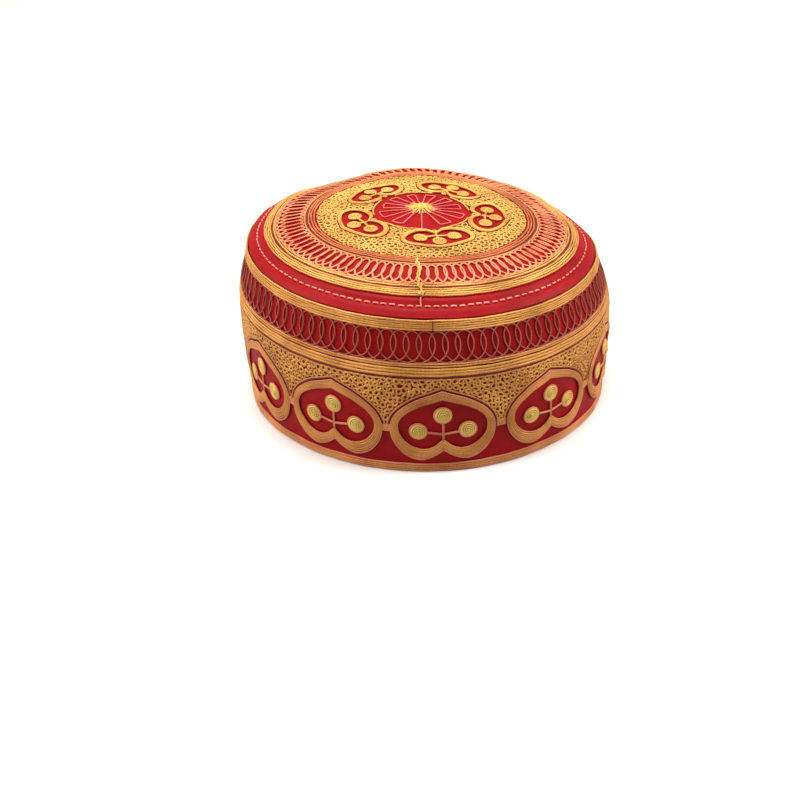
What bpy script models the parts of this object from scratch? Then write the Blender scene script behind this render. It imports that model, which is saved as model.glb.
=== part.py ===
"""A round prayer cap of satin, embroidered in gold thread.

A cloth side wall stands on a stitched binding and carries a domed cloth crown. Raised gold
bands, rings, grounds and heart cartouches with trefoils sit on the cloth. Metres, +Z up.
The origin is on the floor, at the middle of the rim. An azimuth of 0 degrees is +X, and
270 degrees is the front.
"""
import math

import bmesh
import bpy
from mathutils import Vector
from mathutils.geometry import delaunay_2d_cdt

# Cloth walls
HEAD_RADIUS = 0.0907         # inside the rim: a head of 57 cm round
SIDE_WALL = 0.0024
CROWN_WALL = 0.0022
SIDE_HEIGHT = 0.0755         # floor to crown seam
CROWN_RISE = 0.0150          # crown seam to the middle of the crown
SEAM_INSET = 0.0077          # how far the seam lies inside the rim
FIT_GAP = 0.0003             # between neighbouring pieces

# Binding of the rim
BINDING_HEIGHT = 0.0047
BINDING_PROUD = 0.0006
BINDING_ROUND = 0.0010       # rounding of its edges

# Embroidery of the side, from the seam down
SEAM_LINE = 0.0004
UPPER_BAND_WIDTH = 0.0050
SIDE_LOOP_WIDTH = 0.0138
MIDDLE_BAND_WIDTH = 0.0063
DARK_LINE = 0.0009
GROUND_OVER_HEARTS = 0.0060
HEART_FOOT_GAP = 0.0020      # from the binding up to the hearts' lobes

# Embroidery of the crown, from the seam inwards
MARGIN_WIDTH = 0.0084
OUTER_RING_WIDTH = 0.0066
CROWN_LOOP_WIDTH = 0.0130
INNER_RING_WIDTH = 0.0056
GROUND_ROUND_HEARTS = 0.0084
FLOWER_RADIUS = 0.0213
GROUND_INSIDE_HEARTS = 0.0022
BOSS_RADIUS = 0.0042
BOSS_SHIFT_BACK = 0.0025

# How far the embroidery stands off the cloth
BAND_RELIEF = 0.0010
GROUND_RELIEF = 0.0006
HEART_RELIEF = 0.0012
BOSS_RELIEF = 0.0018

# Hearts and trefoils
SIDE_HEART_COUNT = 11
SIDE_HEART_GAP = 0.0047      # between neighbouring hearts
SIDE_DOT_RADIUS = 0.0043
CROWN_HEART_COUNT = 5
CROWN_HEART_GAP = 0.0065
CROWN_DOT_RADIUS = 0.0030
STEM_WIDTH = 0.0012
HEART_MARGIN = 0.0006        # between a heart and the gold ground round it

SEGMENTS = 48                # facets round the cap
DOT_SIDES = 7
BOSS_SEGMENTS = 16
JOIN_DISTANCE = 1e-6         # points nearer than this are one point
ROW_MARGIN = 0.1             # share of a band that keeps clear of the wall's own rows
SHARP_ANGLE = math.radians(35.0)
GROUND_TOP_STEPS = 6         # edges along the top of the gold ground, for each heart
GROUND_JOINTS = (1.0, 0.70, 0.35)   # heights where two patches of it meet, from the foot up

# Colours, roughness and metallic share of the plain materials
RED_SATIN = ((0.42, 0.02, 0.03), 0.45, 0.0)
GOLD_THREAD = ((0.66, 0.46, 0.16), 0.38, 0.6)
COPPER_THREAD = ((0.62, 0.30, 0.12), 0.42, 0.5)

# Sizes that follow from the ones above
RIM_RADIUS = HEAD_RADIUS + SIDE_WALL
SEAM_RADIUS = RIM_RADIUS - SEAM_INSET
UPPER_BAND_TOP = SIDE_HEIGHT - SEAM_LINE
UPPER_BAND_FOOT = UPPER_BAND_TOP - UPPER_BAND_WIDTH
MIDDLE_BAND_TOP = UPPER_BAND_FOOT - SIDE_LOOP_WIDTH
MIDDLE_BAND_FOOT = MIDDLE_BAND_TOP - MIDDLE_BAND_WIDTH
GROUND_TOP = MIDDLE_BAND_FOOT - DARK_LINE
SIDE_HEART_TIP = GROUND_TOP - GROUND_OVER_HEARTS
SIDE_HEART_HEIGHT = SIDE_HEART_TIP - BINDING_HEIGHT - HEART_FOOT_GAP
SIDE_HEART_WIDTH = math.tau * RIM_RADIUS / SIDE_HEART_COUNT - SIDE_HEART_GAP
OUTER_RING_EDGE = SEAM_RADIUS - MARGIN_WIDTH
INNER_RING_EDGE = OUTER_RING_EDGE - OUTER_RING_WIDTH - CROWN_LOOP_WIDTH
GROUND_EDGE = INNER_RING_EDGE - INNER_RING_WIDTH - FIT_GAP
CROWN_HEART_TIP = GROUND_EDGE - GROUND_ROUND_HEARTS
CROWN_HEART_FOOT = FLOWER_RADIUS + GROUND_INSIDE_HEARTS
CROWN_HEART_HEIGHT = CROWN_HEART_TIP - CROWN_HEART_FOOT
CROWN_HEART_MIDDLE = 0.5 * (CROWN_HEART_TIP + CROWN_HEART_FOOT)
CROWN_HEART_WIDTH = math.tau * CROWN_HEART_MIDDLE / CROWN_HEART_COUNT - CROWN_HEART_GAP

# Side wall: share of the side's height, share of the seam's inset that is still to come
SIDE_SECTION = (
    # height, flare
    (0.00, 1.00),
    (0.25, 0.97),
    (0.50, 0.90),
    (0.66, 0.83),
    (0.80, 0.52),
    (0.93, 0.15),
    (1.00, 0.00),
)
SIDE_INSIDE = (0.66, 0.80)   # heights of the rows on the inside, as the same shares

# Crown: share of the seam's radius, share of the crown's rise
CROWN_SECTION = (
    # radius, rise
    (0.000, 1.000),
    (0.140, 0.992),
    (0.350, 0.945),
    (0.520, 0.870),
    (0.650, 0.790),
    (0.756, 0.672),
    (0.840, 0.545),
    (0.902, 0.385),
    (0.921, 0.338),
    (0.943, 0.205),
    (0.967, 0.162),
    (1.000, 0.000),
)
CROWN_UNDERSIDE = (0.943, 0.840, 0.650, 0.350, 0.000)   # shares of the seam's radius

# Soft dents and bulges: place, reach and move, the lengths as shares of the rim's radius
DENTS = (
    # azimuth, radius, height, reach, outward, upward
    (358.0, 1.00, 0.38, 0.22, 0.018, 0.000),
    (352.0, 1.00, 0.02, 0.20, -0.018, 0.000),
    (180.0, 1.00, 0.50, 0.22, 0.010, 0.000),
    (184.0, 1.00, 0.10, 0.22, -0.014, 0.000),
    (20.0, 0.90, 0.80, 0.18, -0.010, -0.012),
    (155.0, 0.92, 0.84, 0.20, 0.004, 0.015),
    (128.0, 0.78, 0.92, 0.19, 0.000, -0.020),
    (96.0, 0.76, 0.92, 0.18, 0.000, 0.014),
)
LEAN = -0.056                # rise of the crown towards +X, as a slope
RIM_SKEW = -0.0156           # two-lobed share of the rim's radius
CROWN_LOBES = -0.020         # three-lobed share of the crown's radius

# Directions of the first hearts, and how far the hand of the maker moved each one, in degrees
SIDE_HEART_START = 274.1
SIDE_HEART_DRIFT = (0.0, 0.5, 0.6, 0.4, 0.2, 0.0, -0.2, -0.2, 0.6, 2.0, 0.8)
CROWN_HEART_START = 283.0
CROWN_HEART_DRIFT = (0.0, -4.0, -4.0, -3.0, -2.0)

# Half of a heart from tip to notch: share of the half width, share of the height below the tip
HEART_HALF = (
    # across, down
    (0.24, 0.060),
    (0.50, 0.130),
    (0.80, 0.270),
    (0.96, 0.420),
    (1.00, 0.560),
    (0.95, 0.730),
    (0.76, 0.910),
    (0.48, 1.000),
    (0.22, 0.960),
)
WIDEST_DOWN = 0.560
SIDE_NOTCH = 0.860           # depth of the notch below the tip, as a share of the height
CROWN_NOTCH = 0.760

# Inner edge of a heart's outline, as shares of its outer edge
INNER_WIDTH = 0.84
INNER_HEIGHT = 0.70
INNER_TIP = 0.130
INNER_NOTCH = 0.800

# Trefoil: the dots right, upper and left, as shares of the heart's half width and height
TREFOIL = (
    # across, down
    (0.465, 0.575),
    (0.000, 0.350),
    (-0.465, 0.575),
)
JUNCTION_DOWN = 0.620

# Raised sections: share of the width, share of the relief
PLAIN_TOP = ((0.05, 0.8), (0.20, 1.0), (0.80, 1.0), (0.95, 0.8))
MIDDLE_TOP = ((0.06, 0.9), (0.45, 1.0), (0.57, 0.35), (0.70, 0.9), (0.94, 0.8))
OUTER_TOP = ((0.05, 0.8), (0.30, 0.9), (0.38, 0.35), (0.48, 1.0), (0.95, 0.8))
BOSS_TOP = ((0.0, 1.0), (0.45, 0.9), (0.80, 0.55), (1.00, 0.15))


def clear_scene():
    """Empties the scene."""
    for thing in list(bpy.data.objects):
        bpy.data.objects.remove(thing, do_unlink=True)


def make_material(name, finish):
    """A plain Principled material."""
    colour, roughness, metallic = finish
    material = bpy.data.materials.new(name)
    material.use_nodes = True
    shader = material.node_tree.nodes["Principled BSDF"]
    shader.inputs["Base Color"].default_value = (*colour, 1.0)
    shader.inputs["Roughness"].default_value = roughness
    shader.inputs["Metallic"].default_value = metallic
    return material


def settle(point):
    """Moves a point of the true round form to where the soft cap lets it lie."""
    x, y, z = point
    azimuth = math.atan2(y, x)
    up_share = min(max(z / SIDE_HEIGHT, 0.0), 1.0)
    crown_share = min(max((z - SIDE_HEIGHT) / CROWN_RISE, 0.0), 1.0)
    stretch = 1.0 + RIM_SKEW * (1.0 - up_share) * math.sin(2.0 * azimuth)
    stretch += CROWN_LOBES * crown_share * math.sin(3.0 * azimuth)
    moved = Vector((x * stretch, y * stretch, z + LEAN * x * up_share))
    for dent_azimuth, radius, height, reach, outward, upward in DENTS:
        angle = math.radians(dent_azimuth)
        ray = Vector((math.cos(angle), math.sin(angle), 0.0))
        centre = ray * radius * RIM_RADIUS + Vector((0.0, 0.0, height * RIM_RADIUS))
        distance = (Vector(point) - centre).length / (reach * RIM_RADIUS)
        weight = math.exp(-0.5 * distance * distance) * RIM_RADIUS
        moved += ray * outward * weight
        moved.z += upward * weight * up_share
    return moved


def with_normals(rows, turn):
    """Adds a unit normal to each (position, radius, height) row of a wall's section."""
    normals = []
    for index in range(len(rows)):
        before = rows[max(index - 1, 0)]
        after = rows[min(index + 1, len(rows) - 1)]
        run = Vector((after[1] - before[1], after[2] - before[2])).normalized()
        normals.append(Vector((run.y * turn, -run.x * turn)))
    return [(*row, normal) for row, normal in zip(rows, normals)]


def side_rows():
    """The side wall's outer face: position is the height."""
    rows = []
    for height, flare in SIDE_SECTION:
        rows.append((height * SIDE_HEIGHT, SEAM_RADIUS + flare * SEAM_INSET, height * SIDE_HEIGHT))
    return with_normals(rows, 1.0)


def crown_rows():
    """The crown's upper face: position is the radius in plan."""
    rows = []
    for radius, rise in CROWN_SECTION:
        rows.append((radius * SEAM_RADIUS, radius * SEAM_RADIUS, SIDE_HEIGHT + rise * CROWN_RISE))
    return with_normals(rows, -1.0)


SIDE = side_rows()
CROWN = crown_rows()


def on_wall(wall, position, lift):
    """Radius and height of a point at a position along a wall, lifted off its face."""
    index = 0
    while index < len(wall) - 2 and position > wall[index + 1][0]:
        index += 1
    first, second = wall[index], wall[index + 1]
    share = (position - first[0]) / (second[0] - first[0])
    normal = (first[3] * (1.0 - share) + second[3] * share).normalized()
    radius = first[1] + (second[1] - first[1]) * share
    height = first[2] + (second[2] - first[2]) * share
    return radius + normal.x * lift, height + normal.y * lift


def stops(wall, low, high):
    """The positions from low to high, with the wall's own rows between them."""
    margin = ROW_MARGIN * (high - low)
    inner = [row[0] for row in wall if low + margin < row[0] < high - margin]
    return [low, *inner, high]


def finish_mesh(name, bm, material):
    """Settles the points, turns the faces outwards and adds the object."""
    for vert in bm.verts:
        vert.co = settle(vert.co)
    bmesh.ops.recalc_face_normals(bm, faces=bm.faces)
    mesh = bpy.data.meshes.new(name)
    bm.to_mesh(mesh)
    bm.free()
    mesh.materials.append(material)
    mesh.shade_smooth()
    mesh.set_sharp_from_angle(angle=SHARP_ANGLE)
    thing = bpy.data.objects.new(name, mesh)
    bpy.context.scene.collection.objects.link(thing)
    return thing


def turned(name, section, material, facets=SEGMENTS, shift_back=0.0):
    """A closed section of (radius, height) points spun round the cap's axis."""
    bm = bmesh.new()
    verts = [bm.verts.new((radius, 0.0, height)) for radius, height in section]
    edges = [bm.edges.new((verts[i - 1], verts[i])) for i in range(len(verts))]
    bmesh.ops.spin(bm, geom=verts + edges, axis=(0, 0, 1), cent=(0, 0, 0), angle=math.tau,
                   steps=facets, use_merge=True)
    bmesh.ops.remove_doubles(bm, verts=bm.verts, dist=JOIN_DISTANCE)
    bmesh.ops.translate(bm, verts=bm.verts, vec=(0.0, shift_back, 0.0))
    return finish_mesh(name, bm, material)


def band(name, wall, low, high, relief, top, material):
    """A raised ring on a wall, between two positions along it."""
    under = [on_wall(wall, position, FIT_GAP) for position in stops(wall, low, high)]
    over = [on_wall(wall, low + share * (high - low), FIT_GAP + rise * relief)
            for share, rise in top]
    return turned(name, under + over[::-1], material)


def inside(point, loops):
    """True where a point lies inside an odd number of closed loops."""
    x, y = point
    crossings = 0
    for loop in loops:
        for (x1, y1), (x2, y2) in zip(loop, loop[1:] + loop[:1]):
            if (y1 > y) != (y2 > y) and x < x1 + (y - y1) * (x2 - x1) / (y2 - y1):
                crossings += 1
    return crossings % 2 == 1


def triangles_of(loops, extra):
    """Triangles that fill an outline with holes, through some extra points."""
    points = [point for loop in loops for point in loop]
    edges = []
    start = 0
    for loop in loops:
        edges += [(start + i, start + (i + 1) % len(loop)) for i in range(len(loop))]
        start += len(loop)
    points += extra
    found = delaunay_2d_cdt([Vector(point) for point in points], edges, [], 0, 1e-7)
    flat = [tuple(point) for point in found[0]]
    kept = []
    for triangle in found[2]:
        middle = [sum(flat[i][axis] for i in triangle) / 3.0 for axis in (0, 1)]
        if inside(middle, loops):
            kept.append([flat[i] for i in triangle])
    return kept


def panel(name, patches, place, relief, material):
    """A raised flat motif laid on a wall: patches are lists of (loops, extra points)."""
    bm = bmesh.new()
    source = {}
    for loops, extra in patches:
        corners = {}
        for triangle in triangles_of(loops, extra):
            for point in triangle:
                if point not in corners:
                    corners[point] = bm.verts.new(place(point, FIT_GAP))
                    source[corners[point]] = point
            bm.faces.new([corners[point] for point in triangle])
    doubles = bmesh.ops.find_doubles(bm, verts=bm.verts, dist=JOIN_DISTANCE)
    bmesh.ops.weld_verts(bm, targetmap=doubles["targetmap"])
    sheet = list(bm.faces)
    rims = [loop for face in sheet for loop in face.loops if loop.edge.is_boundary]
    rims = [(loop.vert, loop.link_loop_next.vert) for loop in rims]
    over = {}
    for under in list(bm.verts):
        over[under] = bm.verts.new(place(source[under], FIT_GAP + relief))
    for face in sheet:
        bm.faces.new([over[under] for under in face.verts])
        face.normal_flip()
    for first, second in rims:
        bm.faces.new((first, second, over[second], over[first]))
    return finish_mesh(name, bm, material)


def on_side(point, lift):
    """A place on the side: metres across, counted at the rim's radius, and height."""
    across, height = point
    radius, up = on_wall(SIDE, height, lift)
    azimuth = across / RIM_RADIUS
    return radius * math.cos(azimuth), radius * math.sin(azimuth), up


def on_crown(point, lift):
    """A place on the crown, given in plan."""
    x, y = point
    distance = math.hypot(x, y)
    radius, up = on_wall(CROWN, distance, lift)
    return x * radius / distance, y * radius / distance, up


def heart_outline(width, height, notch, tip):
    """A heart from its notch round by the right side, in (across, up), with up 0 at the tip."""
    half = [(across * width / 2.0, -tip - down * height) for across, down in HEART_HALF]
    left = [(-across, up) for across, up in half]
    return half[::-1] + [(0.0, -tip)] + left + [(0.0, -tip - notch * height)]


def trefoil_outline(width, height, dot_radius, foot):
    """Three dots on stems, from the foot of the trunk round by the right dot."""
    half_stem = STEM_WIDTH / 2.0
    joint = Vector((0.0, -JUNCTION_DOWN * height))
    path = [(half_stem, foot)]
    for across, down in TREFOIL:
        dot = Vector((across * width / 2.0, -down * height))
        away = (dot - joint).normalized()
        angle = math.atan2(away.y, away.x)
        neck = math.asin(half_stem / dot_radius)
        crook = joint + Vector((away.y, -away.x)) * half_stem + away * STEM_WIDTH
        path.append(tuple(crook))
        for step in range(DOT_SIDES):
            turn = angle - math.pi + neck + (math.tau - 2.0 * neck) * step / (DOT_SIDES - 1)
            path.append((dot.x + dot_radius * math.cos(turn), dot.y + dot_radius * math.sin(turn)))
        crook = joint - Vector((away.y, -away.x)) * half_stem + away * STEM_WIDTH
        path.append(tuple(crook))
    path.append((-half_stem, foot))
    return path


def heart_loops(width, height, notch, dot_radius):
    """A heart's outer edge and its one window, which runs round the trefoil."""
    outer = heart_outline(width, height, notch, 0.0)
    inner = heart_outline(INNER_WIDTH * width, INNER_HEIGHT * height, INNER_NOTCH, INNER_TIP * height)
    foot = inner.pop()[1]
    window = inner + trefoil_outline(width, height, dot_radius, foot)[::-1]
    return [outer, window]


def grown(loop, distance):
    """A closed loop moved outwards, each corner along its own normal."""
    moved = []
    for index, (x, y) in enumerate(loop):
        before = Vector(loop[index - 1])
        after = Vector(loop[(index + 1) % len(loop)])
        run = (after - before).normalized()
        moved.append((x + run.y * distance, y - run.x * distance))
    return moved


def side_heart_azimuth(index):
    """Direction of a heart of the side, in radians."""
    pitch = 360.0 / SIDE_HEART_COUNT
    drift = SIDE_HEART_DRIFT[index % len(SIDE_HEART_DRIFT)]
    return math.radians(SIDE_HEART_START + index * pitch + drift)


def crown_heart_azimuth(index):
    """Direction of a heart of the crown, in radians."""
    pitch = 360.0 / CROWN_HEART_COUNT
    drift = CROWN_HEART_DRIFT[index % len(CROWN_HEART_DRIFT)]
    return math.radians(CROWN_HEART_START + index * pitch + drift)


def to_side(points, azimuth):
    """Moves a heart's own points to its place on the side."""
    return [(across + azimuth * RIM_RADIUS, up + SIDE_HEART_TIP) for across, up in points]


def to_crown(points, azimuth):
    """Moves a heart's own points to its place on the crown, its tip pointing outwards."""
    ray = Vector((math.cos(azimuth), math.sin(azimuth)))
    back = Vector((ray.y, -ray.x))
    return [tuple(ray * (CROWN_HEART_TIP + up) + back * across) for across, up in points]


def circle(radius, sides):
    """A closed ring of points in plan."""
    return [(radius * math.cos(math.tau * i / sides), radius * math.sin(math.tau * i / sides))
            for i in range(sides)]


def make_cloth(material):
    """The side wall and the crown."""
    low = BINDING_HEIGHT + FIT_GAP
    high = SIDE_HEIGHT - CROWN_WALL - FIT_GAP
    inside_places = [low, *(share * SIDE_HEIGHT for share in SIDE_INSIDE), high]
    outer = [on_wall(SIDE, place, 0.0) for place in stops(SIDE, low, high)]
    inner = [on_wall(SIDE, place, -SIDE_WALL) for place in inside_places]
    turned("side_band", outer + inner[::-1], material)
    upper = [on_wall(CROWN, row[0], 0.0) for row in CROWN]
    edge = SIDE_HEIGHT - CROWN_WALL
    foot = [(on_wall(SIDE, edge, 0.0)[0], edge), (on_wall(SIDE, edge, -SIDE_WALL)[0], edge)]
    lower = [on_wall(CROWN, share * SEAM_RADIUS, -CROWN_WALL) for share in CROWN_UNDERSIDE]
    turned("crown", upper + foot + lower, material)


def make_binding(material):
    """The rounded binding under the side wall, flat where it meets the floor."""
    outer = RIM_RADIUS + BINDING_PROUD
    inner = RIM_RADIUS - SIDE_WALL - BINDING_PROUD
    section = [
        (outer - BINDING_ROUND, 0.0),
        (outer, BINDING_ROUND),
        (outer, BINDING_HEIGHT - BINDING_ROUND),
        (outer - BINDING_ROUND, BINDING_HEIGHT),
        (inner + BINDING_ROUND, BINDING_HEIGHT),
        (inner, BINDING_HEIGHT - BINDING_ROUND),
        (inner, BINDING_ROUND),
        (inner + BINDING_ROUND, 0.0),
    ]
    turned("rim_binding", section, material)


def make_bands(gold, copper):
    """The raised bands of the side and rings of the crown."""
    band("upper_gold_band", SIDE, UPPER_BAND_FOOT, UPPER_BAND_TOP, BAND_RELIEF, PLAIN_TOP, gold)
    band("middle_gold_band", SIDE, MIDDLE_BAND_FOOT, MIDDLE_BAND_TOP, BAND_RELIEF, MIDDLE_TOP, gold)
    outer_low = OUTER_RING_EDGE - OUTER_RING_WIDTH
    band("crown_outer_ring", CROWN, outer_low, OUTER_RING_EDGE, BAND_RELIEF, OUTER_TOP, gold)
    inner_low = INNER_RING_EDGE - INNER_RING_WIDTH
    band("crown_inner_ring", CROWN, inner_low, INNER_RING_EDGE, BAND_RELIEF, PLAIN_TOP, copper)


def make_side_ground(material):
    """The gold ground above and between the hearts, in one patch for each heart."""
    outline = heart_outline(SIDE_HEART_WIDTH, SIDE_HEART_HEIGHT, SIDE_NOTCH, 0.0)
    foot = -WIDEST_DOWN * SIDE_HEART_HEIGHT
    arch = [point for point in grown(outline, HEART_MARGIN) if point[1] > foot - HEART_MARGIN]
    crest = GROUND_TOP - SIDE_HEART_TIP
    joint_heights = [*(share * foot for share in GROUND_JOINTS), crest]
    patches = []
    for index in range(SIDE_HEART_COUNT):
        azimuth = side_heart_azimuth(index)
        after = side_heart_azimuth(index + 1)
        before = side_heart_azimuth(index - 1)
        if index == SIDE_HEART_COUNT - 1:
            after = side_heart_azimuth(0) + math.tau
        if index == 0:
            before = side_heart_azimuth(SIDE_HEART_COUNT - 1) - math.tau
        right = 0.5 * (after - azimuth) * RIM_RADIUS
        left = 0.5 * (before - azimuth) * RIM_RADIUS
        shares = [step / GROUND_TOP_STEPS for step in range(1, GROUND_TOP_STEPS)]
        top = [(left + (right - left) * share, crest) for share in shares]
        loop = arch[::-1] + [(right, up) for up in joint_heights] + top[::-1]
        loop += [(left, up) for up in joint_heights[::-1]]
        patches.append(([to_side(loop, azimuth)], []))
    panel("side_gold_field", patches, on_side, GROUND_RELIEF, material)


def make_crown_ground(material):
    """The gold ground of the crown, with a window round each heart."""
    outline = heart_outline(CROWN_HEART_WIDTH, CROWN_HEART_HEIGHT, CROWN_NOTCH, 0.0)
    loops = [circle(GROUND_EDGE, SEGMENTS), circle(FLOWER_RADIUS, SEGMENTS // 3)]
    extra = []
    for index in range(CROWN_HEART_COUNT):
        azimuth = crown_heart_azimuth(index)
        loops.append(to_crown(grown(outline, HEART_MARGIN), azimuth))
        between = azimuth + math.pi / CROWN_HEART_COUNT
        for radius in (CROWN_HEART_MIDDLE, CROWN_HEART_TIP):
            extra.append((radius * math.cos(between), radius * math.sin(between)))
    panel("crown_gold_field", [(loops, extra)], on_crown, GROUND_RELIEF, material)


def make_hearts(material):
    """The heart cartouches, each an outline with its trefoil in one piece."""
    loops = heart_loops(SIDE_HEART_WIDTH, SIDE_HEART_HEIGHT, SIDE_NOTCH, SIDE_DOT_RADIUS)
    for index in range(SIDE_HEART_COUNT):
        azimuth = side_heart_azimuth(index)
        placed = [to_side(loop, azimuth) for loop in loops]
        panel(f"side_heart_{index + 1:02d}", [(placed, [])], on_side, HEART_RELIEF, material)
    loops = heart_loops(CROWN_HEART_WIDTH, CROWN_HEART_HEIGHT, CROWN_NOTCH, CROWN_DOT_RADIUS)
    for index in range(CROWN_HEART_COUNT):
        azimuth = crown_heart_azimuth(index)
        placed = [to_crown(loop, azimuth) for loop in loops]
        panel(f"crown_heart_{index + 1}", [(placed, [])], on_crown, HEART_RELIEF, material)


def make_boss(material):
    """The stitched knot at the middle of the crown."""
    foot = [on_wall(CROWN, 0.0, FIT_GAP), on_wall(CROWN, BOSS_RADIUS, FIT_GAP)]
    over = [on_wall(CROWN, share * BOSS_RADIUS, FIT_GAP + rise * BOSS_RELIEF)
            for share, rise in BOSS_TOP]
    turned("crown_boss", foot + over[::-1], material, BOSS_SEGMENTS, BOSS_SHIFT_BACK)


def main():
    """Builds the whole cap."""
    clear_scene()
    satin = make_material("red_satin", RED_SATIN)
    gold = make_material("gold_thread", GOLD_THREAD)
    copper = make_material("copper_thread", COPPER_THREAD)
    make_cloth(satin)
    make_binding(copper)
    make_bands(gold, copper)
    make_side_ground(gold)
    make_crown_ground(gold)
    make_hearts(gold)
    make_boss(gold)


main()
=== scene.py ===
"""Looks of a round prayer cap: crimson satin under couched, looped and meandering gold thread.

Every motif is drawn flat, in metres on the wall that carries it, and is then laid on that wall.
An azimuth of 0 degrees is +X, and 270 degrees is the front.
"""

import math

import bpy
import numpy as np
from mathutils import Matrix, Vector


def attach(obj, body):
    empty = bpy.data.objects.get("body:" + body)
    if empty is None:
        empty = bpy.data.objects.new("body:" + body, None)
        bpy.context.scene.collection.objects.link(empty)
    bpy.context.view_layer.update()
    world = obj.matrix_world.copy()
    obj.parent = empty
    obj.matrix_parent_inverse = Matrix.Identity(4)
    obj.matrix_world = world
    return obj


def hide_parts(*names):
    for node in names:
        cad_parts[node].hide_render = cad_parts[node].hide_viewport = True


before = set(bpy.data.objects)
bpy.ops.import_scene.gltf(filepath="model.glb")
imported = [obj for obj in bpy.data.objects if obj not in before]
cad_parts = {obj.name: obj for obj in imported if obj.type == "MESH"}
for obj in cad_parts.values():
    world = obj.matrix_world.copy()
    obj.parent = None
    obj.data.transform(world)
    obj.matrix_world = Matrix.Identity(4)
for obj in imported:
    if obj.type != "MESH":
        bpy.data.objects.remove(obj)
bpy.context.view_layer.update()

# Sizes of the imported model
HEAD_RADIUS = 0.0907
SIDE_WALL = 0.0024
CROWN_WALL = 0.0022
SIDE_HEIGHT = 0.0755
CROWN_RISE = 0.0150
SEAM_INSET = 0.0077
BINDING_HEIGHT = 0.0047
BINDING_PROUD = 0.0006
SEAM_LINE = 0.0004
UPPER_BAND_WIDTH = 0.0050
SIDE_LOOP_WIDTH = 0.0138
MIDDLE_BAND_WIDTH = 0.0063
DARK_LINE = 0.0009
GROUND_OVER_HEARTS = 0.0060
HEART_FOOT_GAP = 0.0020
MARGIN_WIDTH = 0.0084
OUTER_RING_WIDTH = 0.0066
CROWN_LOOP_WIDTH = 0.0130
INNER_RING_WIDTH = 0.0056
GROUND_EDGE_GAP = 0.0003
GROUND_ROUND_HEARTS = 0.0084
FLOWER_RADIUS = 0.0213
FLOWER_EDGE_GAP = 0.0001
GROUND_INSIDE_HEARTS = 0.0022
BOSS_RADIUS = 0.0042
BOSS_SHIFT_BACK = 0.0025
SIDE_HEART_COUNT = 11
SIDE_HEART_GAP = 0.0047
SIDE_DOT_RADIUS = 0.0043
CROWN_HEART_COUNT = 5
CROWN_HEART_GAP = 0.0065
CROWN_DOT_RADIUS = 0.0030

# Sizes that follow from the ones above
RIM_RADIUS = HEAD_RADIUS + SIDE_WALL
SEAM_RADIUS = RIM_RADIUS - SEAM_INSET
UPPER_BAND_TOP = SIDE_HEIGHT - SEAM_LINE
UPPER_BAND_FOOT = UPPER_BAND_TOP - UPPER_BAND_WIDTH
MIDDLE_BAND_TOP = UPPER_BAND_FOOT - SIDE_LOOP_WIDTH
MIDDLE_BAND_FOOT = MIDDLE_BAND_TOP - MIDDLE_BAND_WIDTH
GROUND_TOP = MIDDLE_BAND_FOOT - DARK_LINE
SIDE_HEART_TIP = GROUND_TOP - GROUND_OVER_HEARTS
SIDE_HEART_HEIGHT = SIDE_HEART_TIP - BINDING_HEIGHT - HEART_FOOT_GAP
SIDE_HEART_WIDTH = math.tau * RIM_RADIUS / SIDE_HEART_COUNT - SIDE_HEART_GAP
OUTER_RING_EDGE = SEAM_RADIUS - MARGIN_WIDTH
OUTER_RING_LOW = OUTER_RING_EDGE - OUTER_RING_WIDTH
INNER_RING_EDGE = OUTER_RING_LOW - CROWN_LOOP_WIDTH
INNER_RING_LOW = INNER_RING_EDGE - INNER_RING_WIDTH
GROUND_EDGE = INNER_RING_LOW - GROUND_EDGE_GAP
CROWN_HEART_TIP = GROUND_EDGE - GROUND_ROUND_HEARTS
CROWN_HEART_FOOT = FLOWER_RADIUS + GROUND_INSIDE_HEARTS
CROWN_HEART_HEIGHT = CROWN_HEART_TIP - CROWN_HEART_FOOT
CROWN_HEART_MIDDLE = 0.5 * (CROWN_HEART_TIP + CROWN_HEART_FOOT)
CROWN_HEART_WIDTH = math.tau * CROWN_HEART_MIDDLE / CROWN_HEART_COUNT - CROWN_HEART_GAP
FLOWER_EDGE = CROWN_HEART_FOOT + FLOWER_EDGE_GAP

SIDE_SECTION = (
    # height, flare
    (0.00, 1.00), (0.25, 0.97), (0.50, 0.90), (0.66, 0.83), (0.80, 0.52), (0.93, 0.15), (1.00, 0.00),
)
CROWN_SECTION = (
    # radius, rise
    (0.000, 1.000), (0.140, 0.992), (0.350, 0.945), (0.520, 0.870), (0.650, 0.790), (0.756, 0.672),
    (0.840, 0.545), (0.902, 0.385), (0.921, 0.338), (0.943, 0.205), (0.967, 0.162), (1.000, 0.000),
)
DENTS = (
    # azimuth, radius, height, reach, outward, upward
    (358.0, 1.00, 0.38, 0.22, 0.018, 0.000),
    (352.0, 1.00, 0.02, 0.20, -0.018, 0.000),
    (180.0, 1.00, 0.50, 0.22, 0.010, 0.000),
    (184.0, 1.00, 0.10, 0.22, -0.014, 0.000),
    (20.0, 0.90, 0.80, 0.18, -0.010, -0.012),
    (155.0, 0.92, 0.84, 0.20, 0.004, 0.015),
    (128.0, 0.78, 0.92, 0.19, 0.000, -0.020),
    (96.0, 0.76, 0.92, 0.18, 0.000, 0.014),
)
LEAN = -0.056
RIM_SKEW = -0.0156
CROWN_LOBES = -0.020

SIDE_HEART_START = 274.1
SIDE_HEART_DRIFT = (0.0, 0.5, 0.6, 0.4, 0.2, 0.0, -0.2, -0.2, 0.6, 2.0, 0.8)
CROWN_HEART_START = 283.0
CROWN_HEART_DRIFT = (0.0, -4.0, -4.0, -3.0, -2.0)

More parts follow.
